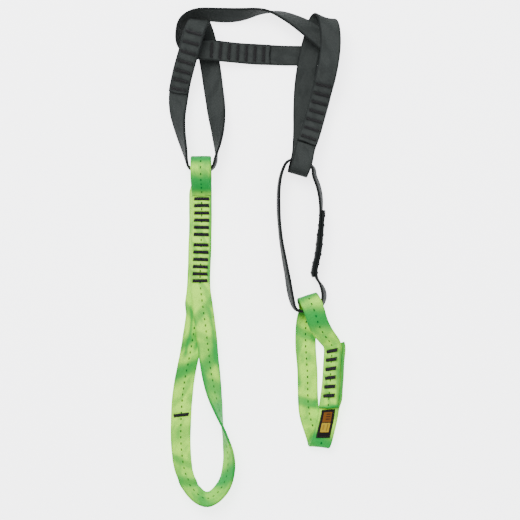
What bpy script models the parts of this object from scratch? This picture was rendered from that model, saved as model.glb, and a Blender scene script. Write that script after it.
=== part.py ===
"""Chain of six sewn webbing loops, linked one through the next like a paper chain.

Top link: a black loop lying crosswise.  From its left end hang a black link and the long
green sling; from its right end hang two black links and the short green grip loop.
Metres, +Z up; the chain lies on a table at z = 0 and its long way runs along Y.
"""

import math

import bmesh
import bpy
import numpy as np

MM = 0.001

# Webbing
WEB_WIDTH = 17.5
WEB_THICK = 2.2
PLY_GAP = 0.3
RAMP = 16.0
RAMP_EARLY = 7.0
PLY_STEP = WEB_THICK + PLY_GAP

# Bar tacks: a flange of thread on each face and a leg through a slot in the webbing
TACK_LONG = 11.4
TACK_WIDE = 2.2
TACK_HIGH = 0.5
TACK_CLEAR = 0.35
LEG_LONG = 9.6
LEG_WIDE = 0.8
SLOT_LONG = 10.2
SLOT_WIDE = 1.4

# Sewn label on the short green loop
LABEL_WIDE = 11.4
LABEL_THICK = 0.6
LABEL_CLEAR = 0.5

# Eyes that stand upright round a neighbour
EYE_RADIUS = 10.7
EYE_HEIGHT = 11.8

# Where the lay sits in the shared frame: middle of the outline over the origin, lowest point at 0
SHIFT = np.array([5.2, 2.25, 0.27])

# How finely the strips are divided
MOST_TURN = math.radians(7.0)
MOST_STEP = 8.0

BLACK_WEB = (0.045, 0.050, 0.048, 1.0)
GREEN_WEB = (0.230, 0.640, 0.120, 1.0)
BLACK_THREAD = (0.012, 0.012, 0.013, 1.0)
LABEL_CLOTH = (0.620, 0.300, 0.040, 1.0)


def bight(x, y, heading, across, rising_first, radius=EYE_RADIUS, height=EYE_HEIGHT, skew=0.0):
    """Guide points of a half turn in an upright plane: its tip points along heading (degrees)."""
    points = []
    angles = (90, 45, 0, -45, -90) if rising_first else (-90, -45, 0, 45, 90)
    head = math.radians(heading)
    side = math.radians(across)
    for angle in angles:
        out = radius * math.cos(math.radians(angle))
        slip = -skew * angle / 90.0
        px = x + out * math.cos(head) + slip * math.cos(side)
        py = y + out * math.sin(head) + slip * math.sin(side)
        pz = height + radius * math.sin(math.radians(angle))
        points.append((px, py, pz, across, 0))
    return points


# Guide points down the middle of each strip: x, y, z in mm, then the compass bearing and the
# rise, in degrees, of the line across the webbing.  A strip starts at its first guide point,
# runs round the ring and on over its own start for the length of its splice.
LONG_SLING = [
    (-52.3, -24.6, 4.8, 0, 0),
    (-51.9, -6, 4.8, 0, 0),
    (-51.4, 12.8, 4.8, 0, 0),
    (-51, 31.5, 4.8, 0, 0),
    (-51, 43, 4.8, 0, 0),
    (-51, 50, 5.1, 0, 0),
    (-51.1, 57.5, 11, 0, 0),
    (-51.3, 64, 19.4, 0, 0),
] + bight(-51.4, 71.8, 90, 0, True) + [
    (-51.3, 64.6, 1.3, 0, 0),
    (-51, 54, 2, 0, 0),
    (-51, 46, 2.2, 0, 0),
    (-51, 31.5, 2.2, 0, 0),
    (-51.4, 12.8, 2.2, 0, 0),
    (-51.9, -6, 2.2, 0, 0),
    (-52.7, -24.6, 2.2, 0, 0),
    (-56, -51, 3, -4, -10),
    (-60.8, -80.8, 4.4, -7, -20),
    (-66.4, -110.5, 3.2, -5, -12),
    (-68.6, -136, 2.6, 0, -5),
    (-68.9, -157.2, 4, 2, -14),
    (-66.7, -179.4, 6.5, 14, -34),
    (-59.5, -197.2, 8.3, 40, -48),
    (-46.8, -206.5, 8.5, 86, -50),
    (-34.9, -198.9, 8.5, 130, -50),
    (-28.5, -183.6, 8.6, 160, -52),
    (-28.5, -164.9, 9.2, 175, -62),
    (-33.6, -143.6, 9.9, 180, -90),
    (-39.6, -119.9, 9.5, -5, -49),
    (-44.1, -93.5, 9, -4, -19),
    (-46.9, -68, 8.8, -4, -9),
    (-50.1, -43.4, 8.2, -2, -3),
]

LEFT_LINK = [
    (-55.9, 188.7, 22.6, 165, 0),
    (-59.9, 175.1, 22.9, 165, 0),
    (-64.2, 160.7, 19.2, 165, -3),
    (-68.4, 145.3, 13.4, 166, -6),
    (-70.8, 130, 10.3, 169, -20),
    (-70, 110.5, 10.5, 177, -52),
    (-65.9, 91, 11.3, 190, -74),
    (-63.6, 79.9, 11.8, 205, -86),
    (-61.5, 73.8, 11.8, 235, -88),
    (-56.5, 71.1, 11.8, 260, -88),
    (-51.4, 70.7, 11.8, 270, -88),
    (-46.3, 71.1, 11.8, 280, -88),
    (-41.5, 73.8, 11.8, 305, -88),
    (-39.1, 79.9, 11.8, 340, -86),
    (-37.7, 91, 11.2, 180, -76),
    (-37.4, 108, 9.5, 180, -47),
    (-39.3, 127.5, 5.3, 180, -22),
    (-42.2, 148.8, 2.6, 184, -7),
    (-45, 167.4, 1.3, 188, 0),
    (-47.6, 181.9, 1.3, 188, 0),
    (-49.9, 190, 3.2, 186, 0),
    (-51.9, 194.9, 10.3, 178, 0),
    (-53.5, 193, 18.6, 170, 0),
]

TOP_LINK = [
    (6.8, 169.6, 4.8, 268, 0),
    (-11.9, 170.4, 6.3, 267, 0),
    (-30.6, 171.7, 10, 266, 0),
    (-47.6, 173, 11.3, 262, 4),
    (-59.5, 174.2, 11.2, 240, 22),
    (-66.3, 178.5, 10.5, 205, 50),
    (-68.9, 187, 10, 180, 66),
    (-66.7, 195.5, 10, 140, 64),
    (-58.7, 201.5, 10.3, 108, 60),
    (-44.2, 202.9, 10.5, 92, 58),
    (-28.9, 202.3, 10.5, 90, 55),
    (-13.6, 203.6, 10.6, 86, 66),
    (0.9, 205.7, 11, 60, 86),
    (15.3, 203.1, 13, 248, 68),
    (28.1, 196.8, 16.6, 243, 50),
    (40, 189.1, 18, 242, 30),
    (50.1, 181.9, 17, 246, 14),
    (57.2, 176, 14, 256, 4),
    (58.9, 172.1, 8.3, 262, 0),
    (53.6, 170, 2.6, 265, 0),
    (42.5, 169.1, 1.2, 268, 0),
    (28.9, 169.1, 1.8, 268, 0),
]

RIGHT_LINK = [
    (52.7, 147, 20, 164, 0),
    (48.9, 131.7, 14, 162, 0),
    (44.2, 114.7, 13, 162, 0),
    (39.5, 99.5, 17, 162, 0),
    (35.7, 87.5, 20.6, 162, 0),
] + bight(33.1, 78.6, 253, 163, True, skew=0.8) + [
    (33.7, 84.6, 1.2, 166, 0),
    (34.5, 95.2, 1.2, 170, 0),
    (34.9, 110.5, 1.2, 173, 0),
    (35.3, 131.7, 1.7, 173, 0),
    (37, 152.1, 3.6, 172, 0),
    (39.9, 169.1, 7.2, 170, 0),
    (43.4, 182.7, 8.5, 168, 0),
    (46.3, 192.9, 9, 166, 0),
    (49.3, 198.2, 12, 162, 0),
    (53.1, 198.7, 18, 162, 0),
    (56.1, 192.9, 23.2, 168, 0),
    (57.4, 182.7, 25, 176, 0),
    (56.4, 165.7, 24, 172, 0),
]

DROP_LINK = [
    (43.3, -18.7, 9.6, 180, -88),
    (45.5, -1.7, 9.6, 180, -88),
    (47.6, 14.4, 9.6, 180, -88),
    (49.3, 31.4, 9.8, 0, -88),
    (49.6, 46.7, 10.2, 0, -88),
    (46.7, 60.3, 11, 0, -88),
    (44.1, 67.8, 11.8, 15, -88),
    (43.2, 73.1, 11.8, 35, -88),
    (38.4, 77, 11.8, 63, -88),
    (33.3, 79.3, 11.8, 73, -88),
    (28, 80.4, 11.8, 83, -88),
    (22.1, 79.3, 11.8, 115, -88),
    (18.5, 74.5, 11.3, 150, -88),
    (15.7, 66.3, 10.8, 165, -87),
    (14.1, 54.4, 10, 180, -86),
    (14.4, 29.7, 9.6, 180, -86),
    (17, 6.8, 9.6, 180, -84),
    (20.8, -14.4, 10, 180, -80),
    (23.4, -29.8, 10.8, 180, -78),
    (25.9, -40.8, 11.8, 200, -82),
    (28.2, -45.4, 11.8, 225, -86),
    (32.5, -47.5, 11.8, 255, -88),
    (41.6, -45.6, 11.8, 288, -88),
    (49.6, -42, 11.8, 305, -88),
    (51.9, -37, 11.4, 345, -88),
    (50, -29.8, 10.6, 0, -88),
]

GRIP_LOOP = [
    (60.4, -75.6, 9.6, 188, -30),
    (60.5, -89.2, 9.4, 182, -36),
    (59.9, -102, 9.4, 178, -36),
    (58.7, -114.7, 9.4, 174, -32),
    (57.2, -126.6, 9, 170, -22),
    (55.1, -138.5, 9, 166, -12),
    (52.4, -149.6, 9.6, 168, -4),
] + bight(48.6, -157.7, 264, 175, True, radius=4.1, height=5.3, skew=1.7) + [
    (44, -147.9, 1.2, 180, 0),
    (40.4, -135.2, 1.2, 184, 0),
    (38.9, -119.9, 1.2, 182, 0),
    (38.5, -99.5, 1.2, 180, 0),
    (37.2, -80.8, 1.2, 182, 0),
    (36.9, -65.5, 1.4, 187, 0),
    (38.1, -54.4, 1.8, 194, 0),
] + bight(41.4, -45.1, 108, 198, False, skew=1.7) + [
    (46.1, -54.1, 20.6, 202, -4),
    (50.2, -62.9, 15.5, 206, -14),
    (56.5, -69.7, 11.2, 200, -24),
]


class Ring:
    """A closed smooth curve through guide points, with the webbing's crosswise direction along it."""

    def __init__(self, guides):
        rows = np.array(guides, float)
        places = rows[:, :3]
        bearing = np.radians(rows[:, 3])
        rise = np.radians(rows[:, 4])
        flat = np.cos(rise)
        across = np.stack([np.cos(bearing) * flat, np.sin(bearing) * flat, np.sin(rise)], axis=1)
        chords = np.linalg.norm(np.roll(places, -1, axis=0) - places, axis=1)
        knots = np.concatenate([[0.0], np.cumsum(chords ** 0.75)])
        fine = np.linspace(0.0, knots[-1], 4001)
        self.centre = closed_spline(knots, places, fine)
        self.across = closed_spline(knots, across, fine)
        pieces = np.linalg.norm(np.diff(self.centre, axis=0), axis=1)
        self.along = np.concatenate([[0.0], np.cumsum(pieces)])
        self.length = self.along[-1]

    def point(self, s, values):
        s = np.mod(s, self.length)
        return np.stack([np.interp(s, self.along, values[:, k]) for k in range(3)], axis=1)

    def frame(self, s):
        """Centre, forward, crosswise and outer-face directions at distances s along the ring."""
        s = np.asarray(s, float)
        centre = self.point(s, self.centre)
        forward = self.point(s + 0.5, self.centre) - self.point(s - 0.5, self.centre)
        forward /= np.linalg.norm(forward, axis=1)[:, None]
        across = self.point(s, self.across)
        across -= np.sum(across * forward, axis=1)[:, None] * forward
        across /= np.linalg.norm(across, axis=1)[:, None]
        return centre, forward, across, np.cross(across, forward)


def closed_spline(knots, values, at):
    """Periodic cubic spline."""
    count = len(values)
    gaps = np.diff(knots)
    bands = np.zeros((count, count))
    right = np.zeros((count, values.shape[1]))
    for i in range(count):
        before = gaps[i - 1]
        after = gaps[i]
        bands[i, i - 1] += before / 6
        bands[i, i] += (before + after) / 3
        bands[i, (i + 1) % count] += after / 6
        slope_after = (values[(i + 1) % count] - values[i]) / after
        slope_before = (values[i] - values[i - 1]) / before
        right[i] = slope_after - slope_before
    bend = np.linalg.solve(bands, right)
    at = np.mod(at, knots[-1])
    k = np.clip(np.searchsorted(knots, at, side="right") - 1, 0, count - 1)
    nxt = (k + 1) % count
    a = ((knots[k + 1] - at) / gaps[k])[:, None]
    b = ((at - knots[k]) / gaps[k])[:, None]
    h = (gaps[k] ** 2 / 6)[:, None]
    bulge = (a ** 3 - a) * bend[k] + (b ** 3 - b) * bend[nxt]
    return a * values[k] + b * values[nxt] + bulge * h


def smooth(x):
    x = np.clip(x, 0.0, 1.0)
    return x * x * (3 - 2 * x)


def strip_rows(ring, start, end):
    """Distances along a strip, closer together where it bends or twists, alike in both plies."""
    if end > ring.length:
        splice = end - ring.length
        once = np.union1d(strip_rows(ring, start, ring.length), [splice])
        return np.concatenate([once, once[(once > 0.0) & (once <= splice)] + ring.length])
    fine = np.arange(start, end - 0.5, 1.0)
    fine = np.append(fine, end)
    centre, forward, across, out = ring.frame(fine)
    kept = [0]
    turned = 0.0
    for i in range(1, len(fine)):
        bend = math.acos(min(1.0, float(forward[i] @ forward[i - 1])))
        twist = math.acos(min(1.0, float(across[i] @ across[i - 1])))
        turned += math.hypot(bend, twist)
        if turned > MOST_TURN or fine[i] - fine[kept[-1]] > MOST_STEP or i == len(fine) - 1:
            kept.append(i)
            turned = 0.0
    return fine[kept]


def ribbon(ring, start, end, width, thick, lift=0.0):
    """A flat closed strip along a ring.  lift raises it off the ring along its outer face."""
    s = strip_rows(ring, start, end)
    centre, forward, across, out = ring.frame(s)
    raised = lift + PLY_STEP * smooth((s - (ring.length - RAMP - RAMP_EARLY)) / RAMP)
    centre = centre + raised[:, None] * out
    half_w = across * width / 2
    half_t = out * thick / 2
    corners = [centre + half_w + half_t, centre - half_w + half_t]
    corners += [centre - half_w - half_t, centre + half_w - half_t]
    verts = np.stack(corners, axis=1).reshape(-1, 3)
    faces = []
    for i in range(len(s) - 1):
        for k in range(4):
            a = 4 * i + k
            b = 4 * i + (k + 1) % 4
            if k == 2:
                faces.append((a, b, a + 4))
                faces.append((b, b + 4, a + 4))
            else:
                faces.append((a, b, b + 4))
                faces.append((a, b + 4, a + 4))
    last = 4 * (len(s) - 1)
    faces.append((3, 2, 1, 0))
    faces.append((last, last + 1, last + 2, last + 3))
    return verts, faces


def stacked(ring, s, rectangles):
    """A closed post of stacked rectangles (length across, width along, height) standing on a strip."""
    centre, forward, across, out = ring.frame([s])
    verts = []
    for long, wide, high in rectangles:
        for i, j in ((1, 1), (-1, 1), (-1, -1), (1, -1)):
            spot = centre[0] + across[0] * i * long / 2 + forward[0] * j * wide / 2
            verts.append(spot + out[0] * high)
    faces = [(3, 2, 1, 0)]
    for level in range(len(rectangles) - 1):
        for k in range(4):
            a = 4 * level + k
            b = 4 * level + (k + 1) % 4
            faces.append((a, b, b + 4, a + 4))
    top = 4 * (len(rectangles) - 1)
    faces.append((top, top + 1, top + 2, top + 3))
    return np.array(verts), faces


def tack_levels(low, high):
    """Flange, leg, flange: low and high are the faces of the webbing stack off the ring's middle."""
    return [
        (TACK_LONG - 0.6, TACK_WIDE - 0.6, low - TACK_CLEAR - TACK_HIGH),
        (TACK_LONG, TACK_WIDE, low - TACK_CLEAR),
        (LEG_LONG, LEG_WIDE, low - TACK_CLEAR),
        (LEG_LONG, LEG_WIDE, high + TACK_CLEAR),
        (TACK_LONG, TACK_WIDE, high + TACK_CLEAR),
        (TACK_LONG - 0.6, TACK_WIDE - 0.6, high + TACK_CLEAR + TACK_HIGH),
    ]


def clear_scene():
    for thing in list(bpy.data.objects):
        bpy.data.objects.remove(thing)


def material(name, colour, roughness):
    made = bpy.data.materials.new(name)
    made.use_nodes = True
    shader = made.node_tree.nodes["Principled BSDF"]
    shader.inputs["Base Color"].default_value = colour
    shader.inputs["Roughness"].default_value = roughness
    shader.inputs["Metallic"].default_value = 0.0
    made.diffuse_color = colour
    return made


def hinge(name, place, parent):
    """An empty on a hinge axis; what turns about it hangs below it."""
    made = bpy.data.objects.new(name, None)
    bpy.context.scene.collection.objects.link(made)
    made["place_mm"] = place
    own = np.array(place) + SHIFT
    if parent is None:
        made.location = tuple(own * MM)
    else:
        made.parent = parent
        base = np.array(parent["place_mm"]) + SHIFT
        made.location = tuple((own - base) * MM)
    return made


def solid(name, verts, faces, colour, parent):
    """A named object from millimetre points, with its mesh set off from its parent's place."""
    base = np.zeros(3) if parent is None else np.array(parent["place_mm"]) + SHIFT
    local = (np.asarray(verts) + SHIFT - base) * MM
    mesh = bpy.data.meshes.new(name)
    work = bmesh.new()
    points = [work.verts.new(tuple(row)) for row in local]
    for face in faces:
        work.faces.new([points[i] for i in face])
    bmesh.ops.recalc_face_normals(work, faces=work.faces[:])
    work.to_mesh(mesh)
    work.free()
    made = bpy.data.objects.new(name, mesh)
    bpy.context.scene.collection.objects.link(made)
    made.parent = parent
    if colour is not None:
        mesh.materials.append(colour)
    return made


def evenly(first, pitch, count):
    return [first + pitch * i for i in range(count)]


def sewn_loop(name, ring, splice, tacks, low, colour, thread, parent, extra=()):
    """One loop of webbing with its slots cut, and a bar tack standing in every slot."""
    verts, faces = ribbon(ring, 0.0, ring.length + splice, WEB_WIDTH, WEB_THICK)
    loop = solid(name, verts, faces, colour, parent)
    high = PLY_STEP + WEB_THICK / 2
    places = [(s, low, high) for s in tacks]
    places += [(s, -WEB_THICK / 2, WEB_THICK / 2) for s in extra]
    slot_verts = []
    slot_faces = []
    for number, (s, bottom, top) in enumerate(places, start=1):
        levels = [(SLOT_LONG, SLOT_WIDE, bottom - 1.6), (SLOT_LONG, SLOT_WIDE, top + 1.6)]
        v, f = stacked(ring, s, levels)
        slot_faces += [tuple(i + 8 * (number - 1) for i in face) for face in f]
        slot_verts.append(v)
        v, f = stacked(ring, s, tack_levels(bottom, top))
        solid(f"{name}_tack_{number:02d}", v, f, thread, parent)
    cutter = solid(f"{name}_slots", np.concatenate(slot_verts), slot_faces, None, parent)
    cutter.hide_render = True
    cutter.display_type = "WIRE"
    cut = loop.modifiers.new("slots", "BOOLEAN")
    cut.operation = "DIFFERENCE"
    cut.solver = "EXACT"
    cut.object = cutter
    return loop


def build():
    clear_scene()
    black = material("black webbing", BLACK_WEB, 0.70)
    green = material("green webbing", GREEN_WEB, 0.60)
    thread = material("black thread", BLACK_THREAD, 0.80)
    label_cloth = material("label cloth", LABEL_CLOTH, 0.60)

    swing_left = hinge("hinge_left_link", (-60.4, 184.5, 12.0), None)
    lift_sling = hinge("hinge_long_sling", (-51.4, 71.8, EYE_HEIGHT), swing_left)
    swing_right = hinge("hinge_right_link", (41.7, 193.0, 12.0), None)
    lift_drop = hinge("hinge_drop_link", (33.1, 78.6, EYE_HEIGHT), swing_right)
    lift_grip = hinge("hinge_grip_loop", (41.4, -45.1, EYE_HEIGHT), lift_drop)

    one_ply = -WEB_THICK / 2
    under_ply = -2.6 - WEB_THICK / 2

    sling = Ring(LONG_SLING)
    sling_tacks = evenly(2.6, 6.1, 6) + evenly(41.9, 6.1, 6)
    sewn_loop("long_sling", sling, 75.6, sling_tacks, under_ply, green, thread, lift_sling, [MARKER_AT])

    sewn_loop("left_link", Ring(LEFT_LINK), 56.0, evenly(4.0, 8.1, 7), one_ply, black, thread, swing_left)
    sewn_loop("top_link", Ring(TOP_LINK), 56.0, evenly(5.5, 7.4, 7), one_ply, black, thread, None)
    sewn_loop("right_link", Ring(RIGHT_LINK), 58.0, evenly(4.2, 8.2, 7), one_ply, black, thread, swing_right)
    sewn_loop("drop_link", Ring(DROP_LINK), 57.0, evenly(4.0, 8.1, 7), one_ply, black, thread, lift_drop)

    grip = Ring(GRIP_LOOP)
    sewn_loop("grip_loop", grip, 54.0, evenly(5.3, 7.6, 6), one_ply, green, thread, lift_grip)
    rise = WEB_THICK / 2 + LABEL_CLEAR + LABEL_THICK / 2
    verts, faces = ribbon(grip, 55.2, 79.5, LABEL_WIDE, LABEL_THICK, lift=rise)
    solid("label", verts, faces, label_cloth, lift_grip)


# Distance along the long sling of the lone tack on its left strand
MARKER_AT = 346.0

build()
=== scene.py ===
"""Looks of the webbing loop chain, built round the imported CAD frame.

Every loop is a fine woven ribbon that follows the same ring as its CAD solid, every bar tack is
zigzag thread, and the label is a stitched cloth tab.  Lengths are in millimetres and are scaled
and shifted into the frame in one place, make_mesh.
"""

import math
from collections import namedtuple

import bpy
import numpy as np
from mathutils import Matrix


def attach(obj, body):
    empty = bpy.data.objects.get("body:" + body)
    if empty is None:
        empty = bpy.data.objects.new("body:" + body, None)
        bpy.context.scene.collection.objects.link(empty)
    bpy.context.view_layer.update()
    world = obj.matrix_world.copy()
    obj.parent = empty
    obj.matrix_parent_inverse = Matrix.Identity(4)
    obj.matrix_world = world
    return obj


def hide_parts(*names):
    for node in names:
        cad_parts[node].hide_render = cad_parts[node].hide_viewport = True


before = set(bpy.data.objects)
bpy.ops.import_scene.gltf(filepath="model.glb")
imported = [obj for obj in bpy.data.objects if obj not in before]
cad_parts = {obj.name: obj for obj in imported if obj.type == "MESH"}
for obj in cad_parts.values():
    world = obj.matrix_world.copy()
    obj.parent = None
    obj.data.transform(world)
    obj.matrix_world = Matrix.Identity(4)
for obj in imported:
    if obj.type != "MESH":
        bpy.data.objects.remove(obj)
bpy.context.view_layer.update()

MM = 0.001
SHIFT = np.array([5.2, 2.25, 0.27])  # from the guide points' own frame to the CAD frame, in mm

# Webbing, as in the CAD.
WEB_WIDTH = 17.5
WEB_THICK = 2.2
PLY_GAP = 0.3
PLY_STEP = WEB_THICK + PLY_GAP
UNDER_PLY_DROP = 2.6
RAMP = 16.0
RAMP_EARLY = 7.0
EYE_RADIUS = 10.7
EYE_HEIGHT = 11.8

# Detail of the woven strip.
ROW_STEP = 1.0
EDGE_WANDER = 0.16
CROWN_DROP = 0.10
PLY_FILL = 0.13
TACK_PULL = 0.30
TACK_REACH = 12.4
WARP_PITCH = 1.04
FLOAT_PITCH = 1.5
WEAVE_DEPTH = 0.16

# Bar tacks: length over the strip and width along it, then thread radii.
BLACK_TACK = (13.4, 2.4)
SLING_TACK = (12.8, 3.0)
GRIP_TACK = (10.6, 3.3)
MARKER_SLANT = -2.2
GRIP_SLANT = 2.4
THREAD = 0.25
BED_THREAD = 0.24
LEG_THREAD = 0.2
LABEL_THREAD = 0.13

# Webbing colours: lit lying flat, painted shade where it turns away or creases, and the deepest
# painted shade, also used for dark flecks and burnt ends.
BLACK_LIT_AND_SHADED = ((0.034, 0.0385, 0.0365), (0.017, 0.0200, 0.019), (0.002, 0.003, 0.003))
GREEN_LIT_AND_SHADED = ((0.47, 0.98, 0.055), (0.0, 0.29, 0.046), (0.002, 0.12, 0.010))
DASH_DYE = (0.001, 0.055, 0.010)
DASH_PITCH = 5.2
DASH_LONG = 1.9
DASH_WIDE = 1.1

# Label tab, measured from its top edge along the strip.
LABEL_START = 55.2
LABEL_LONG = 24.3
LABEL_WIDE = 11.4
LABEL_THICK = 0.62
LABEL_LEAN = 0.25
LABEL_LIFT = WEB_THICK / 2 + 0.12
LABEL_PUFF = 0.16
LABEL_BLACK = (0.004, 0.003, 0.003)
LABEL_ORANGE = (0.13, 0.045, 0.004)
LABEL_YELLOW = (0.32, 0.22, 0.012)

# Studio, in metres and watts.
WORLD_LIGHT = 1.0
KEY_WATTS = 38.0
FILL_WATTS = 6.0
FLOOR_GLOW = 3.2
FLOOR_LEVEL = -0.0001
FLOOR_HALF = 3.0
CAMERA_LENS = 120.0
CAMERA_SENSOR = 36.0
CAMERA_FIELD = 0.442
CAMERA_OVER = (0.0035, -0.002)


def bight(x, y, heading, across, rising_first, radius=EYE_RADIUS, height=EYE_HEIGHT, skew=0.0):
    """Guide points of a half turn in an upright plane: its tip points along heading (degrees)."""
    points = []
    angles = (90, 45, 0, -45, -90) if rising_first else (-90, -45, 0, 45, 90)
    head = math.radians(heading)
    side = math.radians(across)
    for angle in angles:
        out = radius * math.cos(math.radians(angle))
        slip = -skew * angle / 90.0
        px = x + out * math.cos(head) + slip * math.cos(side)
        py = y + out * math.sin(head) + slip * math.sin(side)
        pz = height + radius * math.sin(math.radians(angle))
        points.append((px, py, pz, across, 0))
    return points


# Guide points down the middle of each strip: x, y, z in mm, then bearing and rise in degrees.
LONG_SLING = [
    (-52.3, -24.6, 4.8, 0, 0),
    (-51.9, -6, 4.8, 0, 0),
    (-51.4, 12.8, 4.8, 0, 0),
    (-51, 31.5, 4.8, 0, 0),
    (-51, 43, 4.8, 0, 0),
    (-51, 50, 5.1, 0, 0),
    (-51.1, 57.5, 11, 0, 0),
    (-51.3, 64, 19.4, 0, 0),
] + bight(-51.4, 71.8, 90, 0, True) + [
    (-51.3, 64.6, 1.3, 0, 0),
    (-51, 54, 2, 0, 0),
    (-51, 46, 2.2, 0, 0),
    (-51, 31.5, 2.2, 0, 0),
    (-51.4, 12.8, 2.2, 0, 0),
    (-51.9, -6, 2.2, 0, 0),
    (-52.7, -24.6, 2.2, 0, 0),
    (-56, -51, 3, -4, -10),
    (-60.8, -80.8, 4.4, -7, -20),
    (-66.4, -110.5, 3.2, -5, -12),
    (-68.6, -136, 2.6, 0, -5),
    (-68.9, -157.2, 4, 2, -14),
    (-66.7, -179.4, 6.5, 14, -34),
    (-59.5, -197.2, 8.3, 40, -48),
    (-46.8, -206.5, 8.5, 86, -50),
    (-34.9, -198.9, 8.5, 130, -50),
    (-28.5, -183.6, 8.6, 160, -52),
    (-28.5, -164.9, 9.2, 175, -62),
    (-33.6, -143.6, 9.9, 180, -90),
    (-39.6, -119.9, 9.5, -5, -49),
    (-44.1, -93.5, 9, -4, -19),
    (-46.9, -68, 8.8, -4, -9),
    (-50.1, -43.4, 8.2, -2, -3),
]

LEFT_LINK = [
    (-55.9, 188.7, 22.6, 165, 0),
    (-59.9, 175.1, 22.9, 165, 0),
    (-64.2, 160.7, 19.2, 165, -3),
    (-68.4, 145.3, 13.4, 166, -6),
    (-70.8, 130, 10.3, 169, -20),
    (-70, 110.5, 10.5, 177, -52),
    (-65.9, 91, 11.3, 190, -74),
    (-63.6, 79.9, 11.8, 205, -86),
    (-61.5, 73.8, 11.8, 235, -88),
    (-56.5, 71.1, 11.8, 260, -88),
    (-51.4, 70.7, 11.8, 270, -88),
    (-46.3, 71.1, 11.8, 280, -88),
    (-41.5, 73.8, 11.8, 305, -88),
    (-39.1, 79.9, 11.8, 340, -86),
    (-37.7, 91, 11.2, 180, -76),
    (-37.4, 108, 9.5, 180, -47),
    (-39.3, 127.5, 5.3, 180, -22),
    (-42.2, 148.8, 2.6, 184, -7),
    (-45, 167.4, 1.3, 188, 0),
    (-47.6, 181.9, 1.3, 188, 0),
    (-49.9, 190, 3.2, 186, 0),
    (-51.9, 194.9, 10.3, 178, 0),
    (-53.5, 193, 18.6, 170, 0),
]

TOP_LINK = [
    (6.8, 169.6, 4.8, 268, 0),
    (-11.9, 170.4, 6.3, 267, 0),
    (-30.6, 171.7, 10, 266, 0),
    (-47.6, 173, 11.3, 262, 4),
    (-59.5, 174.2, 11.2, 240, 22),
    (-66.3, 178.5, 10.5, 205, 50),
    (-68.9, 187, 10, 180, 66),
    (-66.7, 195.5, 10, 140, 64),
    (-58.7, 201.5, 10.3, 108, 60),
    (-44.2, 202.9, 10.5, 92, 58),
    (-28.9, 202.3, 10.5, 90, 55),
    (-13.6, 203.6, 10.6, 86, 66),
    (0.9, 205.7, 11, 60, 86),
    (15.3, 203.1, 13, 248, 68),
    (28.1, 196.8, 16.6, 243, 50),
    (40, 189.1, 18, 242, 30),
    (50.1, 181.9, 17, 246, 14),
    (57.2, 176, 14, 256, 4),
    (58.9, 172.1, 8.3, 262, 0),
    (53.6, 170, 2.6, 265, 0),
    (42.5, 169.1, 1.2, 268, 0),
    (28.9, 169.1, 1.8, 268, 0),
]

RIGHT_LINK = [
    (52.7, 147, 20, 164, 0),
    (48.9, 131.7, 14, 162, 0),
    (44.2, 114.7, 13, 162, 0),
    (39.5, 99.5, 17, 162, 0),
    (35.7, 87.5, 20.6, 162, 0),
] + bight(33.1, 78.6, 253, 163, True, skew=0.8) + [
    (33.7, 84.6, 1.2, 166, 0),
    (34.5, 95.2, 1.2, 170, 0),
    (34.9, 110.5, 1.2, 173, 0),
    (35.3, 131.7, 1.7, 173, 0),
    (37, 152.1, 3.6, 172, 0),
    (39.9, 169.1, 7.2, 170, 0),
    (43.4, 182.7, 8.5, 168, 0),
    (46.3, 192.9, 9, 166, 0),
    (49.3, 198.2, 12, 162, 0),
    (53.1, 198.7, 18, 162, 0),
    (56.1, 192.9, 23.2, 168, 0),
    (57.4, 182.7, 25, 176, 0),
    (56.4, 165.7, 24, 172, 0),
]

DROP_LINK = [
    (43.3, -18.7, 9.6, 180, -88),
    (45.5, -1.7, 9.6, 180, -88),
    (47.6, 14.4, 9.6, 180, -88),
    (49.3, 31.4, 9.8, 0, -88),
    (49.6, 46.7, 10.2, 0, -88),
    (46.7, 60.3, 11, 0, -88),
    (44.1, 67.8, 11.8, 15, -88),
    (43.2, 73.1, 11.8, 35, -88),
    (38.4, 77, 11.8, 63, -88),
    (33.3, 79.3, 11.8, 73, -88),
    (28, 80.4, 11.8, 83, -88),
    (22.1, 79.3, 11.8, 115, -88),
    (18.5, 74.5, 11.3, 150, -88),
    (15.7, 66.3, 10.8, 165, -87),
    (14.1, 54.4, 10, 180, -86),
    (14.4, 29.7, 9.6, 180, -86),
    (17, 6.8, 9.6, 180, -84),
    (20.8, -14.4, 10, 180, -80),
    (23.4, -29.8, 10.8, 180, -78),
    (25.9, -40.8, 11.8, 200, -82),
    (28.2, -45.4, 11.8, 225, -86),
    (32.5, -47.5, 11.8, 255, -88),
    (41.6, -45.6, 11.8, 288, -88),
    (49.6, -42, 11.8, 305, -88),
    (51.9, -37, 11.4, 345, -88),
    (50, -29.8, 10.6, 0, -88),
]

GRIP_LOOP = [
    (60.4, -75.6, 9.6, 188, -30),
    (60.5, -89.2, 9.4, 182, -36),
    (59.9, -102, 9.4, 178, -36),
    (58.7, -114.7, 9.4, 174, -32),
    (57.2, -126.6, 9, 170, -22),
    (55.1, -138.5, 9, 166, -12),
    (52.4, -149.6, 9.6, 168, -4),
] + bight(48.6, -157.7, 264, 175, True, radius=4.1, height=5.3, skew=1.7) + [
    (44, -147.9, 1.2, 180, 0),
    (40.4, -135.2, 1.2, 184, 0),
    (38.9, -119.9, 1.2, 182, 0),
    (38.5, -99.5, 1.2, 180, 0),
    (37.2, -80.8, 1.2, 182, 0),
    (36.9, -65.5, 1.4, 187, 0),
    (38.1, -54.4, 1.8, 194, 0),
] + bight(41.4, -45.1, 108, 198, False, skew=1.7) + [
    (46.1, -54.1, 20.6, 202, -4),
    (50.2, -62.9, 15.5, 206, -14),
    (56.5, -69.7, 11.2, 200, -24),
]


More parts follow.
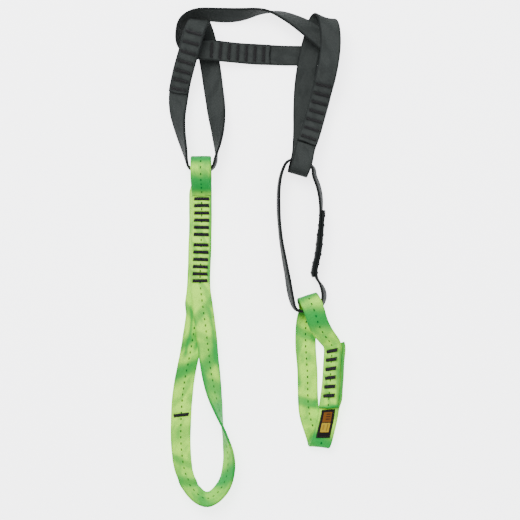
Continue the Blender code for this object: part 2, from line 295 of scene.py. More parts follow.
class Ring:
    """A closed smooth curve through guide points, with the webbing's crosswise direction."""

    def __init__(self, guides):
        rows = np.array(guides, float)
        places = rows[:, :3]
        bearing = np.radians(rows[:, 3])
        rise = np.radians(rows[:, 4])
        flat = np.cos(rise)
        across = np.stack([np.cos(bearing) * flat, np.sin(bearing) * flat, np.sin(rise)], axis=1)
        chords = np.linalg.norm(np.roll(places, -1, axis=0) - places, axis=1)
        knots = np.concatenate([[0.0], np.cumsum(chords ** 0.75)])
        fine = np.linspace(0.0, knots[-1], 4001)
        self.centre = closed_spline(knots, places, fine)
        self.across = closed_spline(knots, across, fine)
        pieces = np.linalg.norm(np.diff(self.centre, axis=0), axis=1)
        self.along = np.concatenate([[0.0], np.cumsum(pieces)])
        self.length = self.along[-1]

    def point(self, s, values):
        """Values at distances s, read off the fine table."""
        s = np.mod(s, self.length)
        return np.stack([np.interp(s, self.along, values[:, k]) for k in range(3)], axis=1)

    def frame(self, s):
        """Centre, forward, crosswise and outer-face directions at distances s along the ring."""
        s = np.asarray(s, float)
        centre = self.point(s, self.centre)
        forward = self.point(s + 0.5, self.centre) - self.point(s - 0.5, self.centre)
        forward /= np.linalg.norm(forward, axis=1)[:, None]
        across = self.point(s, self.across)
        across -= np.sum(across * forward, axis=1)[:, None] * forward
        across /= np.linalg.norm(across, axis=1)[:, None]
        return centre, forward, across, np.cross(across, forward)


def closed_spline(knots, values, at):
    """Periodic cubic spline."""
    count = len(values)
    gaps = np.diff(knots)
    bands = np.zeros((count, count))
    right = np.zeros((count, values.shape[1]))
    for i in range(count):
        before = gaps[i - 1]
        after = gaps[i]
        bands[i, i - 1] += before / 6
        bands[i, i] += (before + after) / 3
        bands[i, (i + 1) % count] += after / 6
        slope_after = (values[(i + 1) % count] - values[i]) / after
        slope_before = (values[i] - values[i - 1]) / before
        right[i] = slope_after - slope_before
    bend = np.linalg.solve(bands, right)
    at = np.mod(at, knots[-1])
    k = np.clip(np.searchsorted(knots, at, side="right") - 1, 0, count - 1)
    nxt = (k + 1) % count
    a = ((knots[k + 1] - at) / gaps[k])[:, None]
    b = ((at - knots[k]) / gaps[k])[:, None]
    h = (gaps[k] ** 2 / 6)[:, None]
    bulge = (a ** 3 - a) * bend[k] + (b ** 3 - b) * bend[nxt]
    return a * values[k] + b * values[nxt] + bulge * h


def smooth(x):
    """Ease from 0 to 1 as x goes from 0 to 1."""
    x = np.clip(x, 0.0, 1.0)
    return x * x * (3 - 2 * x)


def make_mesh(name, verts, faces, colour, uvs=None, marks=None):
    """A smooth-shaded object from millimetre points, in the material colour."""
    mesh = bpy.data.meshes.new(name)
    mesh.from_pydata((np.asarray(verts) + SHIFT) * MM, [], faces)
    mesh.update()
    if uvs is not None:
        layer = mesh.uv_layers.new(name="UVMap")
        loops = np.empty(len(mesh.loops), np.int32)
        mesh.loops.foreach_get("vertex_index", loops)
        layer.data.foreach_set("uv", np.asarray(uvs)[loops].astype(np.float32).ravel())
    if marks is not None:
        for key, values in marks.items():
            layer = mesh.attributes.new(key, "FLOAT", "POINT")
            layer.data.foreach_set("value", np.asarray(values, np.float32))
    mesh.polygons.foreach_set("use_smooth", [True] * len(mesh.polygons))
    made = bpy.data.objects.new(name, mesh)
    bpy.context.scene.collection.objects.link(made)
    mesh.materials.append(colour)
    return made


def strip_faces(rows, count):
    """Quads of a closed sleeve of rows of count points, and its two end caps."""
    faces = []
    for i in range(rows - 1):
        base = i * count
        for k in range(count):
            n = (k + 1) % count
            faces.append((base + k, base + n, base + count + n, base + count + k))
    last = (rows - 1) * count
    faces.append(tuple(range(count))[::-1])
    faces.append(tuple(range(last, last + count)))
    return faces


def flat_uvs(u, along, shape):
    """Texture places in millimetres: across the strip and along it."""
    spread = [np.broadcast_to(u, shape), np.broadcast_to(along, shape)]
    return np.stack(spread, axis=-1).reshape(-1, 2)


# ---------------------------------------------------------------- ribbons


def web_profile(width, thick, columns=15, round_steps=4):
    """Points round the flattened tube's section, as (across, height) in mm, selvages rounded."""
    radius = thick / 2
    flat = width / 2 - radius
    top = [(x, radius) for x in np.linspace(flat, -flat, columns)]
    angles = np.linspace(90, 270, round_steps + 2)[1:-1]
    turns = np.radians(angles)
    left = [(-flat + radius * math.cos(a), radius * math.sin(a)) for a in turns]
    bottom = [(x, -radius) for x in np.linspace(-flat, flat, columns)]
    right = [(-x, y) for x, y in reversed(left)]
    return np.array(top + left + bottom + right)


def press(s, u, tacks, half_long):
    """How far each bar tack pulls the face in, from 0 to 1, at s along and u across."""
    sink = np.zeros(np.broadcast(s, u).shape)
    reach = smooth((half_long + 1.6 - np.abs(u)) / 1.6)
    for t in tacks:
        sink = np.maximum(sink, np.exp(-(((s - t) / 2.1) ** 4)))
    return sink * reach


def lean_over(s, rolls):
    """Turn of the strip about its own line at s, in radians."""
    turn = 0.0 * s
    for place, reach, degrees in rolls:
        turn = turn + math.radians(degrees) * np.exp(-np.abs((s - place) / reach) ** 3)
    return turn


def web_strip(name, ring, splice, tacks, marker, colour, style):
    """The webbing of one loop from cut end to cut end, shaped by its style."""
    total = ring.length + splice
    s = np.linspace(0.0, total, int(round(total / ROW_STEP)) + 1)
    centre, forward, across, out = ring.frame(s)
    turn = lean_over(s, style.rolls) + lean_over(s - ring.length, style.rolls)
    side, face = across, out
    across = side * np.cos(turn)[:, None] + face * np.sin(turn)[:, None]
    out = face * np.cos(turn)[:, None] - side * np.sin(turn)[:, None]
    raised = PLY_STEP * smooth((s - (ring.length - RAMP - RAMP_EARLY)) / RAMP)
    profile = web_profile(WEB_WIDTH, WEB_THICK)
    u = profile[:, 0][None, :]
    h = profile[:, 1][None, :]
    along = s[:, None]
    seed = sum(ord(c) for c in name)
    # The selvages wander a little and the flat faces ripple softly.
    edge = np.abs(u) / (WEB_WIDTH / 2)
    wander = np.sin(along / 9.7 + seed) + 0.6 * np.sin(along / 4.3 + 2.1 * seed + np.sign(u))
    wide = u * (1.0 - 0.012) + np.sign(u) * edge**4 * EDGE_WANDER * wander * 0.6
    ripple = 0.07 * np.sin(along / 6.1 + u / 5.0 + seed)
    ripple = ripple + 0.05 * np.sin(along / 3.4 - u / 3.1 + 1.7 * seed)
    crown = -CROWN_DROP * edge**2
    high = h + (ripple + crown) * (1 - 0.6 * edge**4)
    # Bar tacks draw in the outward faces of both plies.
    spots = list(tacks) + [t + ring.length for t in tacks] + list(marker)
    pulled = press(along, u, spots, TACK_REACH / 2)
    inner = np.zeros(high.shape)
    padded = 0.0
    if tacks:
        # Between tacks the sewn plies pad up, and their inner faces meet.
        first, last = min(tacks) - 2, max(tacks) + 2
        inside = smooth((along - first) / 3) * smooth((last - along) / 3)
        lap = along - ring.length
        over = smooth((lap - first) / 3) * smooth((last - lap) / 3)
        inner = inside * (h > 0) + over * (h < 0)
        padded = 0.10 * (inside + over) * (1 - pulled) * (1 - edge**2)
    outward = (padded - TACK_PULL * pulled) * (1 - inner) + PLY_FILL * inner
    high = high + np.sign(h) * outward
    # Painted shade where the strip tilts away from lying flat, and creases: soft cross-folds,
    # slanting over the strip, darkened with more painted shade; those with no fold are painted
    # shade alone.
    lean = smooth((0.99 - np.abs(out[:, 2])) / 0.42)
    painted_shade = np.zeros(high.shape) + 0.5 * lean[:, None]
    for place, reach, slant, strength, fold in style.creases:
        off = (along + slant * u - place) / reach
        painted_shade = 1 - (1 - painted_shade) * (1 - strength * np.exp(-np.abs(off) ** 4))
        roll = np.exp(-3 * (off - 0.55) ** 2) - np.exp(-3 * (off + 0.55) ** 2)
        high = high + fold * roll * (1 - 0.3 * edge**4)
    # Streaks: lengthwise bands of painted shade, with shallow grooves where the webbing bunches up.
    for first, last, line, reach, strength, groove in style.streaks:
        span = smooth((along - first) / 7) * smooth((last - along) / 7)
        shape = span * np.exp(-(((u - line - 0.5 * np.sin(along / 6.0)) / reach) ** 2))
        painted_shade = 1 - (1 - painted_shade) * (1 - strength * shape)
        high = high - np.sign(h) * groove * shape
    # Heat-cut ends: pinched thinner over the last millimetre, slightly out of square.
    near_end = np.minimum(along, total - along)
    pinch = smooth(near_end / 1.6)
    high = high * (0.55 + 0.45 * pinch)
    wide = wide * (0.985 + 0.015 * pinch)
    # Plies sewn a little out of line with each other.
    for first, last, sideways in style.drifts:
        wide = wide + sideways * smooth((along - first) / 12) * smooth((last - along) / 12)
    skew = 0.35 * np.sin(u / 2.3 + seed) * (1 - smooth(near_end / 2.5))
    skew = skew + style.cut_skew * u * (1 - smooth((total - along) / 5.0))
    spot = centre[:, None, :] + forward[:, None, :] * skew[:, :, None]
    spot = spot + across[:, None, :] * wide[:, :, None]
    spot = spot + out[:, None, :] * (high + raised[:, None])[:, :, None]
    burnt = (1 - smooth(near_end / 1.3)) * np.ones_like(high)
    # Marks for the shader: burnt ends, painted shade in tack dimples, and painted shade from tilts,
    # creases and streaks.
    marks = {"burnt": burnt.ravel(), "tack": pulled.ravel(), "painted_shade": painted_shade.ravel()}
    faces = strip_faces(*high.shape)
    uvs = flat_uvs(u, along, high.shape)
    return make_mesh(name, spot.reshape(-1, 3), faces, colour, uvs, marks)


# ---------------------------------------------------------------- thread


def tube(points, radius, sides=6):
    """A closed round tube through points."""
    points = np.asarray(points, float)
    ahead = np.gradient(points, axis=0)
    ahead /= np.linalg.norm(ahead, axis=1)[:, None]
    up = np.array([0.0, 0.0, 1.0])
    verts = []
    side = np.cross(ahead[0], up)
    if np.linalg.norm(side) < 1e-3:
        side = np.array([1.0, 0.0, 0.0])
    for p, t in zip(points, ahead):
        side = side - (side @ t) * t
        side /= np.linalg.norm(side)
        other = np.cross(t, side)
        for k in range(sides):
            a = 2 * math.pi * k / sides
            verts.append(p + radius * (math.cos(a) * side + math.sin(a) * other))
    return verts, strip_faces(len(points), sides)


def join(parts):
    """One list of points and one of faces from several."""
    verts = []
    faces = []
    for v, f in parts:
        base = len(verts)
        verts += list(v)
        faces += [tuple(i + base for i in face) for face in f]
    return verts, faces


def axes_at(ring, s):
    """Centre, forward, crosswise and outer-face directions at one place."""
    return [values[0] for values in ring.frame([s])]


def zigzag(ring, s, height, side, size, slant, seed):
    """One satin face of a bar tack: thread laid to and fro over the bar, arched over its middle."""
    centre, forward, across, out = axes_at(ring, s)
    length, width = size
    points = []
    count = 2 * int(round(length / 0.82)) + 1
    for i in range(count):
        u = length * (i / (count - 1) - 0.5)
        sway = 0.10 * math.sin(1.9 * i + seed)
        reach = width / 2 * (1 + 0.08 * math.sin(2.7 * i + 0.6 * seed))
        v = reach if i % 2 else -reach
        v += slant * u / length
        foot = centre + across * (u + sway) + forward * v
        points.append(foot + out * (height - side * 0.16))
        if i < count - 1:
            middle_u = length * ((i + 0.5) / (count - 1) - 0.5)
            crown = centre + across * (middle_u + sway) + forward * (slant * middle_u / length)
            points.append(crown + out * (height + side * 0.42))
    return tube(points, THREAD)


def bed(ring, s, height, side, size, slant):
    """The long threads below the satin, a low rounded pad that fills the bar's body."""
    centre, forward, across, out = axes_at(ring, s)
    length, width = size
    parts = []
    for lane in np.linspace(-0.5, 0.5, 5) * (width - 0.7):
        points = []
        for i in range(9):
            u = (length - 0.7) * (i / 8 - 0.5)
            lift = 0.04 + 0.05 * math.sin(3.1 * i + 5 * lane)
            spot = centre + across * u + forward * (lane + slant * u / length)
            points.append(spot + out * (height + side * lift))
        parts.append(tube(points, BED_THREAD))
    return join(parts)


def loose_tail(ring, s, high, size, slant):
    """A thread end left hanging from one end of a tack."""
    centre, forward, across, out = axes_at(ring, s)
    points = []
    for i in range(9):
        r = i / 8
        u = -size[0] / 2 + 0.6 - 2.6 * r
        v = slant * u / size[0] + 1.6 * r * r
        lift = high + 0.25 + 0.35 * math.sin(3.0 * r)
        points.append(centre + across * u + forward * v + out * lift)
    return tube(points, BED_THREAD, 5)


def bar_tack(name, ring, s, low, high, size, slant, colour, tail):
    """Both faces of one tack and the threads that run through the plies between them."""
    seed = sum(ord(c) * (i + 1) for i, c in enumerate(name)) % 97
    parts = [
        zigzag(ring, s, high + 0.04, 1, size, slant, seed),
        bed(ring, s, high - 0.03, 1, size, slant),
        zigzag(ring, s, low - 0.04, -1, size, slant, seed + 3),
        bed(ring, s, low + 0.03, -1, size, slant),
    ]
    centre, _, across, out = axes_at(ring, s)
    for i in range(8):
        foot = centre + across * (size[0] - 1.2) * (i / 7 - 0.5)
        parts.append(tube([foot + out * (low + 0.2), foot + out * (high - 0.2)], LEG_THREAD, 5))
    if tail:
        parts.append(loose_tail(ring, s, high, size, slant))
    verts, faces = join(parts)
    return make_mesh(name, verts, faces, colour)


# ---------------------------------------------------------------- materials


class Nodes:
    """Short hand for wiring shader nodes."""

    def __init__(self, name):
        self.material = bpy.data.materials.new(name)
        self.material.use_nodes = True
        self.tree = self.material.node_tree
        self.shader = self.tree.nodes["Principled BSDF"]

    def add(self, kind, **settings):
        node = self.tree.nodes.new(kind)
        for key, value in settings.items():
            setattr(node, key, value)
        return node

    def link(self, source, target):
        self.tree.links.new(source, target)

    def math(self, operation, a, b=None):
        """Socket of a sum over numbers and sockets."""
        node = self.add("ShaderNodeMath", operation=operation)
        for socket, value in zip(node.inputs, (a, b)):
            if value is None:
                continue
            if isinstance(value, (int, float)):
                socket.default_value = value
            else:
                self.link(value, socket)
        return node.outputs[0]

    def mix(self, factor, a, b):
        """Colour a, turned into colour b by the factor."""
        node = self.add("ShaderNodeMix", data_type="RGBA", blend_type="MIX")
        for socket, value in ((node.inputs[0], factor), (node.inputs[6], a), (node.inputs[7], b)):
            if isinstance(value, (int, float)):
                socket.default_value = value
            elif isinstance(value, tuple):
                socket.default_value = value + (1.0,)
            else:
                self.link(value, socket)
        return node.outputs[2]

    def ramp(self, value, stops):
        """Value eased from (low, high) to (new low, new high)."""
        node = self.add("ShaderNodeMapRange", interpolation_type="SMOOTHSTEP")
        for socket, number in zip(node.inputs[1:5], stops):
            socket.default_value = number
        self.link(value, node.inputs[0])
        return node.outputs[0]

    def strip_place(self):
        """Place on a strip in its own millimetres: across and along."""
        uv = self.add("ShaderNodeUVMap", uv_map="UVMap")
        split = self.add("ShaderNodeSeparateXYZ")
        self.link(uv.outputs[0], split.inputs[0])
        return split.outputs[0], split.outputs[1]

    def mark(self, name):
        """A number from 0 to 1 that web_strip gave each point."""
        return self.add("ShaderNodeAttribute", attribute_name=name).outputs["Fac"]

    def noise(self, place, scale=1.0, detail=2.0):
        """Soft noise at a place, given as one vector or as an (x, y) pair."""
        if isinstance(place, tuple):
            flat = self.add("ShaderNodeCombineXYZ")
            self.link(place[0], flat.inputs[0])
            self.link(place[1], flat.inputs[1])
            place = flat.outputs[0]
        node = self.add("ShaderNodeTexNoise")
        node.inputs["Scale"].default_value = scale
        node.inputs["Detail"].default_value = detail
        self.link(place, node.inputs["Vector"])
        return node.outputs[0]

    def object_place(self):
        return self.add("ShaderNodeTexCoord").outputs["Object"]

    def surface(self, base, roughness, specular):
        self.link(base, self.shader.inputs["Base Color"])
        self.shader.inputs["Roughness"].default_value = roughness
        self.shader.inputs["Specular IOR Level"].default_value = specular

    def bump(self, height, strength, depth):
        """Relief of the given depth in mm."""
        node = self.add("ShaderNodeBump")
        node.inputs["Strength"].default_value = strength
        node.inputs["Distance"].default_value = depth * MM
        self.link(height, node.inputs["Height"])
        self.link(node.outputs[0], self.shader.inputs["Normal"])


def weave(n, u, v):
    """Height of the woven face: ribs of warp with staggered floats."""
    column = n.math("ADD", n.math("DIVIDE", u, WARP_PITCH), 200.0)
    swing = n.math("SUBTRACT", n.math("MULTIPLY", n.math("FRACT", column), 2.0), 1.0)
    arch = n.math("SUBTRACT", 1.0, n.math("POWER", n.math("ABSOLUTE", swing), 2.0))
    odd = n.math("MODULO", n.math("FLOOR", column), 2.0)
    turn = n.math("MULTIPLY", v, 2 * math.pi / FLOAT_PITCH)
    phase = n.math("ADD", turn, n.math("MULTIPLY", odd, math.pi))
    lifted = n.math("ADD", n.math("MULTIPLY", n.math("COSINE", phase), 0.5), 0.5)
    return n.math("MULTIPLY", arch, n.math("ADD", n.math("MULTIPLY", lifted, 0.6), 0.4))


def dashes(n, u, v):
    """1 on the tracer dashes woven down the middle, 0 elsewhere."""
    beat = n.math("FRACT", n.math("DIVIDE", v, DASH_PITCH))
    on = n.math("LESS_THAN", beat, DASH_LONG / DASH_PITCH)
    middle = n.math("LESS_THAN", n.math("ABSOLUTE", u), DASH_WIDE / 2)
    return n.math("MULTIPLY", on, middle)


def webbing_material(name, lit_and_shaded, roughness, specular, patchy, edge_shade, dashed):
    """Woven nylon, painted light where it lies flat and painted shade where it turns or creases."""
    flat, turned_shade, shade = lit_and_shaded
    n = Nodes(name)
    u, v = n.strip_place()
    height = weave(n, u, v)
    # Painted shade: the lit flat colour is mixed towards the shaded colour where the strip tilts,
    # creases or streaks.
    base = n.mix(n.mark("painted_shade"), flat, turned_shade)
    # Slow variation in how the dyeing took, and a fine fleck from yarn to yarn.
    slant = n.math("ADD", v, n.math("MULTIPLY", u, 0.9))
    slow = n.noise((n.math("MULTIPLY", u, 0.11), n.math("MULTIPLY", slant, 0.075)), detail=3.0)
    base = n.mix(n.ramp(slow, (0.44, 0.66, 0.0, patchy)), base, turned_shade)
    fleck = n.noise((n.math("MULTIPLY", u, 1.9), n.math("MULTIPLY", v, 0.9)), detail=4.0)
    base = n.mix(n.ramp(fleck, (0.35, 0.68, 0.0, 0.30)), base, shade)
    # Valleys between yarns hold less light.
    base = n.mix(n.ramp(height, (0.0, 0.55, 0.38, 0.0)), base, shade)
    # Selvage: a tighter weave, a touch darker, with painted shade where its edges round away from
    # the light.
    base = n.mix(n.ramp(n.math("ABSOLUTE", u), (6.6, 8.7, 0.0, edge_shade)), base, shade)
    # Painted shade in the dimples where a bar tack draws the plies in.
    base = n.mix(n.math("MULTIPLY", n.mark("tack"), 0.35), base, shade)
    if dashed:
        base = n.mix(n.math("MULTIPLY", dashes(n, u, v), 0.95), base, DASH_DYE)
    # Heat-cut ends.
    base = n.mix(n.math("MULTIPLY", n.mark("burnt"), 0.75), base, shade)
    n.surface(base, roughness, specular)
    n.shader.inputs["Sheen Weight"].default_value = 0.03
    n.shader.inputs["Sheen Roughness"].default_value = 0.45
    n.shader.inputs["Sheen Tint"].default_value = flat + (1.0,)
    n.bump(height, 0.75, WEAVE_DEPTH)
    return n.material


def thread_material(name, colour):
    """Bonded thread with a fine ply twist, its plies picked out with painted glints."""
    n = Nodes(name)
    twist = n.noise(n.object_place(), 2600.0, 3.0)
    # Painted glints: a brighter copy of the thread colour, laid on by the twist noise.
    painted_glint = tuple(c * 2.6 + 0.002 for c in colour)
    n.surface(n.mix(n.ramp(twist, (0.4, 0.7, 0.0, 0.6)), colour, painted_glint), 0.62, 0.2)
    n.shader.inputs["Sheen Weight"].default_value = 0.05
    n.bump(twist, 0.5, 0.05)
    return n.material


def label_material(name):
    """Black cloth tab with an orange-brown field, a yellow field and plain dark bars."""
    n = Nodes(name)
    u, v = n.strip_place()

    def window(across, along, strength=1.0):
        wide = [n.math("GREATER_THAN", u, across[0]), n.math("LESS_THAN", u, across[1])]
        tall = [n.math("GREATER_THAN", v, along[0]), n.math("LESS_THAN", v, along[1])]
        inside = n.math("MULTIPLY", n.math("MULTIPLY", *wide), n.math("MULTIPLY", *tall))
        return n.math("MULTIPLY", inside, strength)

    base = n.mix(window((-3.6, 3.4), (2.2, 10.8)), LABEL_BLACK, LABEL_ORANGE)
    base = n.mix(window((-3.6, 3.4), (11.6, 19.6)), base, LABEL_YELLOW)
    for bar in ((3.6, 4.5), (5.7, 6.6), (7.8, 8.7)):
        base = n.mix(window((-2.6, 1.0), bar, 0.8), base, LABEL_BLACK)
    base = n.mix(window((-2.2, -1.2), (12.6, 18.4), 0.55), base, (0.07, 0.03, 0.002))
    base = n.mix(window((0.6, 2.2), (13.2, 17.8), 0.45), base, (0.13, 0.05, 0.003))
    worn = n.noise((n.math("MULTIPLY", u, 2.2), n.math("MULTIPLY", v, 2.2)))
    base = n.mix(n.ramp(worn, (0.45, 0.75, 0.0, 0.35)), base, LABEL_BLACK)
    n.surface(base, 0.7, 0.1)
    across = n.math("SINE", n.math("MULTIPLY", u, 11.0))
    along = n.math("SINE", n.math("MULTIPLY", v, 11.0))
    n.bump(n.math("MULTIPLY", across, along), 0.4, 0.05)
    return n.material


def floor_material():
    """A near-white floor that glows a little, as a lit table does."""
    n = Nodes("pale floor")
    soft = n.noise(n.object_place(), 6.0)
    base = n.mix(n.math("MULTIPLY", soft, 0.05), (0.93, 0.93, 0.945), (0.86, 0.86, 0.89))
    n.surface(base, 0.9, 0.1)
    n.link(base, n.shader.inputs["Emission Color"])
    n.shader.inputs["Emission Strength"].default_value = FLOOR_GLOW
    return n.material


# ---------------------------------------------------------------- the object


# Creases and bands of painted shade: place along the strip, reach, slant over the width, strength
# of painted shade and height of fold.
SLING_CREASES_AND_SHADE = [
    (89.0, 12.5, 0.0, 1.0, 0.0),
    (116.5, 9.5, 0.0, 1.0, 0.0),
    (262.0, 5.0, -0.7, 0.60, 0.25),
    (280.0, 5.0, 0.9, 0.75, 0.30),
    (307.0, 8.0, 0.7, 0.90, 0.35),
    (318.0, 3.0, 0.4, 0.25, 0.10),
    (362.0, 7.0, 0.3, 0.45, 0.20),
    (386.0, 4.0, -0.6, 0.55, 0.25),
    (404.0, 5.0, -0.5, 0.70, 0.70),
    (421.0, 5.0, 0.5, 0.60, 0.20),
    (452.0, 9.0, 0.8, 0.95, 0.20),
    (486.0, 8.0, 0.5, 0.60, 0.15),
    (504.0, 17.0, 0.0, 0.92, 0.0),
    (531.0, 8.0, 0.5, 0.75, 0.20),
    (553.0, 9.0, -0.9, 0.85, 0.30),
    (572.0, 4.0, 0.6, 0.45, 0.20),
    (596.0, 5.0, -0.8, 0.60, 0.25),
]
GRIP_CREASES_AND_SHADE = [
    (83.5, 8.5, 0.2, 0.97, 0.0),
    (99.0, 6.0, 0.5, 0.80, 0.20),
    (114.0, 4.0, -0.4, 0.35, 0.15),
    (130.0, 4.5, -0.3, 0.80, 0.35),
    (150.0, 4.0, 0.8, 0.25, 0.15),
    (170.0, 4.0, -0.7, 0.25, 0.15),
    (188.0, 4.5, -0.4, 0.75, 0.30),
    (209.0, 5.0, 0.4, 0.75, 0.10),
    (226.0, 8.5, 0.0, 1.0, 0.0),
    (253.0, 12.5, 0.35, 0.96, 0.15),
    (270.0, 3.5, -0.5, 0.40, 0.10),
    (336.5, 3.2, -0.2, 0.95, 0.0),
]

# Streaks of painted shade: first and last place, line across, reach, strength of painted shade and
# depth of groove.
SLING_SHADED_STREAKS = [
    (250.0, 300.0, -3.4, 1.3, 0.85, 0.25),
    (246.0, 292.0, 4.6, 1.5, 0.90, 0.30),
    (478.0, 572.0, 8.2, 2.0, 0.90, 0.10),
    (478.0, 572.0, -8.2, 1.6, 0.75, 0.05),
    (545.0, 600.0, 5.6, 1.6, 0.70, 0.25),
    (615.0, 700.0, 7.6, 1.2, 0.85, 0.0),
]
GRIP_SHADED_STREAKS = [
    (140.0, 205.0, 7.4, 1.6, 0.55, 0.05),
    (282.0, 340.0, -7.8, 1.3, 0.65, 0.05),
    (-20.0, 58.0, -7.4, 2.0, 0.90, 0.0),
]

# The drop link stands on its edge; these stretches of it lean over a little: place, reach, degrees.
DROP_ROLLS = [
    (78.0, 22.0, 9.0),
    (274.0, 12.0, 9.0),
]


# How one loop's webbing differs from a plain strip.  Drifts: first and last place, mm sideways.
Style = namedtuple("Style", "creases streaks rolls drifts cut_skew", defaults=((), (), (), (), 0.0))
PLAIN = Style()
SLING_STYLE = Style(SLING_CREASES_AND_SHADE, SLING_SHADED_STREAKS, drifts=[(146.0, 262.0, -2.3)])
GRIP_STYLE = Style(GRIP_CREASES_AND_SHADE, GRIP_SHADED_STREAKS, drifts=[(-20.0, 55.0, -2.2)], cut_skew=0.2)
DROP_STYLE = Style(rolls=DROP_ROLLS)


def evenly(first, pitch, count):
    return [first + pitch * i for i in range(count)]


def sewn_loop(
    name,
    guides,
    splice,
    tacks,
    look,
    thread,
    marker=(),
    size=BLACK_TACK,
    slant=0.0,
    low=-WEB_THICK / 2,
    style=PLAIN,
):
    """One loop: its webbing and its numbered bar tacks, tied to the CAD solids they stand for."""
    web_look, slot = look
    ring = Ring(guides)
    piece = web_strip(name + "_web", ring, splice, tacks, marker, web_look, style)
    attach(piece, name)
    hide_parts(name)
    half = WEB_THICK / 2
    places = [(s, low, PLY_STEP + half, slant, False) for s in tacks]
    places += [(s, -half, half, MARKER_SLANT, True) for s in marker]
    for number, (s, bottom, top, lean, tail) in enumerate(places, start=1):
        node = f"{name}_tack_{number:02d}"
        tack = bar_tack(node + "_thread", ring, s, bottom, top, size, lean, thread, tail)
        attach(tack, name)
        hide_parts(node)
    return ring


def label_curl(along, edge):
    """How far the label's free end lifts, most at its corners."""
    return 0.35 * smooth((along - LABEL_LONG + 5) / 5) * (0.4 + 0.6 * edge**2)


def stitch(on_label, spots):
    """One small stitch, dipping into the cloth at both ends."""
    rises = (-0.10, 0.10, 0.14, 0.10, -0.10)
    points = [on_label(u, along, rise) for (u, along), rise in zip(spots, rises)]
    return tube(points, LABEL_THREAD, 5)


def make_label(ring, cloth, thread):
    """Folded cloth tab, slightly cushioned, with a run of small stitches round its border."""
    s = np.linspace(LABEL_START, LABEL_START + LABEL_LONG, 50)
    centre, forward, across, out = ring.frame(s)
    profile = web_profile(LABEL_WIDE, LABEL_THICK, columns=11, round_steps=3)
    u = profile[:, 0][None, :]
    along = s[:, None] - LABEL_START
    edge = np.abs(u) / (LABEL_WIDE / 2)
    puff = LABEL_PUFF * (1 - edge**4) * smooth(along / 2) * smooth((LABEL_LONG - along) / 2)
    high = profile[:, 1][None, :] + LABEL_THICK / 2 + LABEL_LIFT + puff + label_curl(along, edge)
    spot = centre[:, None, :] + across[:, None, :] * u[:, :, None]
    spot = spot + out[:, None, :] * high[:, :, None]
    spot = spot + forward[:, None, :] * (LABEL_LEAN * u)[:, :, None]
    uvs = flat_uvs(u, along, high.shape)
    label = make_mesh("label_cloth", spot.reshape(-1, 3), strip_faces(*high.shape), cloth, uvs)
    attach(label, "grip_loop")
    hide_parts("label")

    def on_label(u_at, along_at, rise):
        c, f, a, o = axes_at(ring, LABEL_START + along_at)
        e = abs(u_at) / (LABEL_WIDE / 2)
        top = LABEL_LIFT + LABEL_THICK + LABEL_PUFF * (1 - e**4) + label_curl(along_at, e)
        return c + a * u_at + f * LABEL_LEAN * u_at + o * (top + rise)

    parts = []
    for side in (-1, 1):
        for i in range(13):
            start = 1.4 + i * 1.72
            spots = [(side * 4.9, start + 1.2 * k / 4) for k in range(5)]
            parts.append(stitch(on_label, spots))
    for i in range(6):
        start = -4.2 + i * 1.6
        spots = [(start + 1.1 * k / 4, LABEL_LONG - 1.0) for k in range(5)]
        parts.append(stitch(on_label, spots))
    verts, faces = join(parts)
    stitches = make_mesh("label_stitches", verts, faces, thread)
    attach(stitches, "grip_loop")


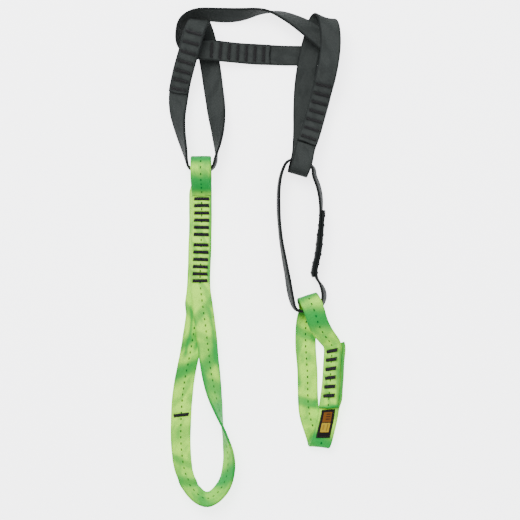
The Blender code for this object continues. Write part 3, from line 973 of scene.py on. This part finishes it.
def build_object():
    black_web = webbing_material("black webbing look", BLACK_LIT_AND_SHADED, 0.80, 0.06, 0.45, 0.65, False)
    green_web = webbing_material("green webbing look", GREEN_LIT_AND_SHADED, 0.60, 0.05, 0.50, 0.35, True)
    black = (black_web, "black webbing")
    green = (green_web, "green webbing")
    thread = thread_material("black thread look", (0.0045, 0.0045, 0.005))
    label_thread = thread_material("label thread look", (0.020, 0.016, 0.015))
    sewn_loop(
        "long_sling",
        LONG_SLING,
        75.6,
        evenly(2.6, 6.1, 6) + evenly(41.9, 6.1, 6),
        green,
        thread,
        marker=[346.0],
        size=SLING_TACK,
        low=-UNDER_PLY_DROP - WEB_THICK / 2,
        style=SLING_STYLE,
    )
    sewn_loop("left_link", LEFT_LINK, 56.0, evenly(4.0, 8.1, 7), black, thread)
    sewn_loop("top_link", TOP_LINK, 56.0, evenly(5.5, 7.4, 7), black, thread)
    sewn_loop("right_link", RIGHT_LINK, 58.0, evenly(4.2, 8.2, 7), black, thread)
    sewn_loop("drop_link", DROP_LINK, 57.0, evenly(4.0, 8.1, 7), black, thread, style=DROP_STYLE)
    grip = sewn_loop(
        "grip_loop",
        GRIP_LOOP,
        54.0,
        evenly(5.3, 7.6, 6),
        green,
        thread,
        size=GRIP_TACK,
        slant=GRIP_SLANT,
        style=GRIP_STYLE,
    )
    make_label(grip, label_material("label look"), label_thread)


def area_light(name, place, size, watts):
    """A square lamp that faces the middle of the frame."""
    lamp = bpy.data.lights.new(name, "AREA")
    lamp.shape = "SQUARE"
    lamp.size = size
    lamp.energy = watts
    holder = bpy.data.objects.new(name, lamp)
    bpy.context.scene.collection.objects.link(holder)
    holder.location = place
    x, y, z = place
    holder.rotation_euler = (math.atan2(math.hypot(x, y), z), 0.0, math.atan2(x, -y))


def add_floor():
    square = bpy.data.meshes.new("floor")
    signs = ((-1, -1), (1, -1), (1, 1), (-1, 1))
    corners = [(x * FLOOR_HALF, y * FLOOR_HALF, FLOOR_LEVEL) for x, y in signs]
    square.from_pydata(corners, [], [(0, 1, 2, 3)])
    square.materials.append(floor_material())
    floor = bpy.data.objects.new("floor", square)
    bpy.context.scene.collection.objects.link(floor)


def add_camera():
    camera = bpy.data.cameras.new("camera")
    camera.lens = CAMERA_LENS
    camera.sensor_width = CAMERA_SENSOR
    camera.clip_end = 20.0
    holder = bpy.data.objects.new("camera", camera)
    bpy.context.scene.collection.objects.link(holder)
    holder.location = (*CAMERA_OVER, CAMERA_FIELD * CAMERA_LENS / CAMERA_SENSOR)
    bpy.context.scene.camera = holder


def studio():
    """White floor and surround, a key lamp behind, a fill lamp in front, a camera overhead."""
    add_floor()
    world = bpy.data.worlds.new("studio")
    bpy.context.scene.world = world
    world.use_nodes = True
    back = world.node_tree.nodes["Background"]
    back.inputs[0].default_value = (0.93, 0.93, 0.97, 1.0)
    back.inputs[1].default_value = WORLD_LIGHT
    area_light("key", (-0.35, 0.75, 1.35), 0.9, KEY_WATTS)
    area_light("fill", (0.9, -0.5, 1.2), 1.4, FILL_WATTS)
    add_camera()


build_object()
studio()
